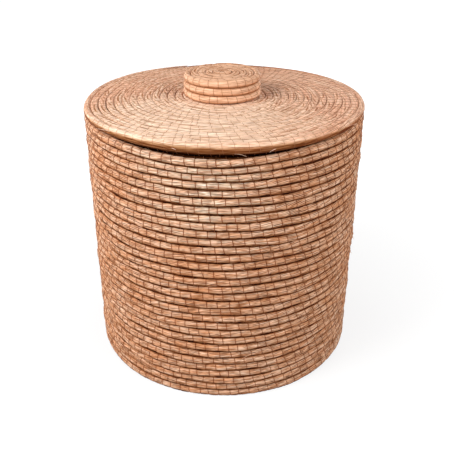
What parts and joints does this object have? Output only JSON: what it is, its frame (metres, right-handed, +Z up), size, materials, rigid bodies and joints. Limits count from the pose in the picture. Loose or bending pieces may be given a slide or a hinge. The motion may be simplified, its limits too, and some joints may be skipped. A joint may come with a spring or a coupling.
{
  "type": "lidded basket",
  "caption": "Round basket sewn from coiled pine needle bundles, with straight sides, a flat lift-off lid and a low drum-shaped knob.",
  "frame": {"origin": "on the surface that the basket stands on, under the middle of the basket", "axes": "+Z up along the basket's axis and the way the lid lifts, -Y towards the front, +X to the right seen from the front"},
  "size_m": [0.256, 0.256, 0.2717],
  "materials": {
    "basket_needles": "dry pine needles in tan and rust brown, sewn with brown thread",
    "lid_needles": "dry pine needles in pale tan, sewn with brown thread",
    "knob_needles": "dry pine needles in warm tan, sewn with brown thread",
    "knot_needles": "tightly bound brown pine needles"
  },
  "bodies": {
    "basket": {"base_coil": "basket_needles", "base_start_knot": "knot_needles", "wall_coil": "basket_needles"},
    "lid": {"lid_rim_coil": "lid_needles", "lid_coil": "lid_needles", "lid_start_knot": "knot_needles", "lid_collar_coil": "lid_needles", "knob_side_coil": "knob_needles", "knob_top_coil": "knob_needles", "knob_start_knot": "knot_needles"}
  },
  "joints": [
    {"name": "lid_lift", "type": "slide", "parent": "basket", "child": "lid", "axis": [0, 0, 1], "range_m": [0, 0.15]}
  ]
}
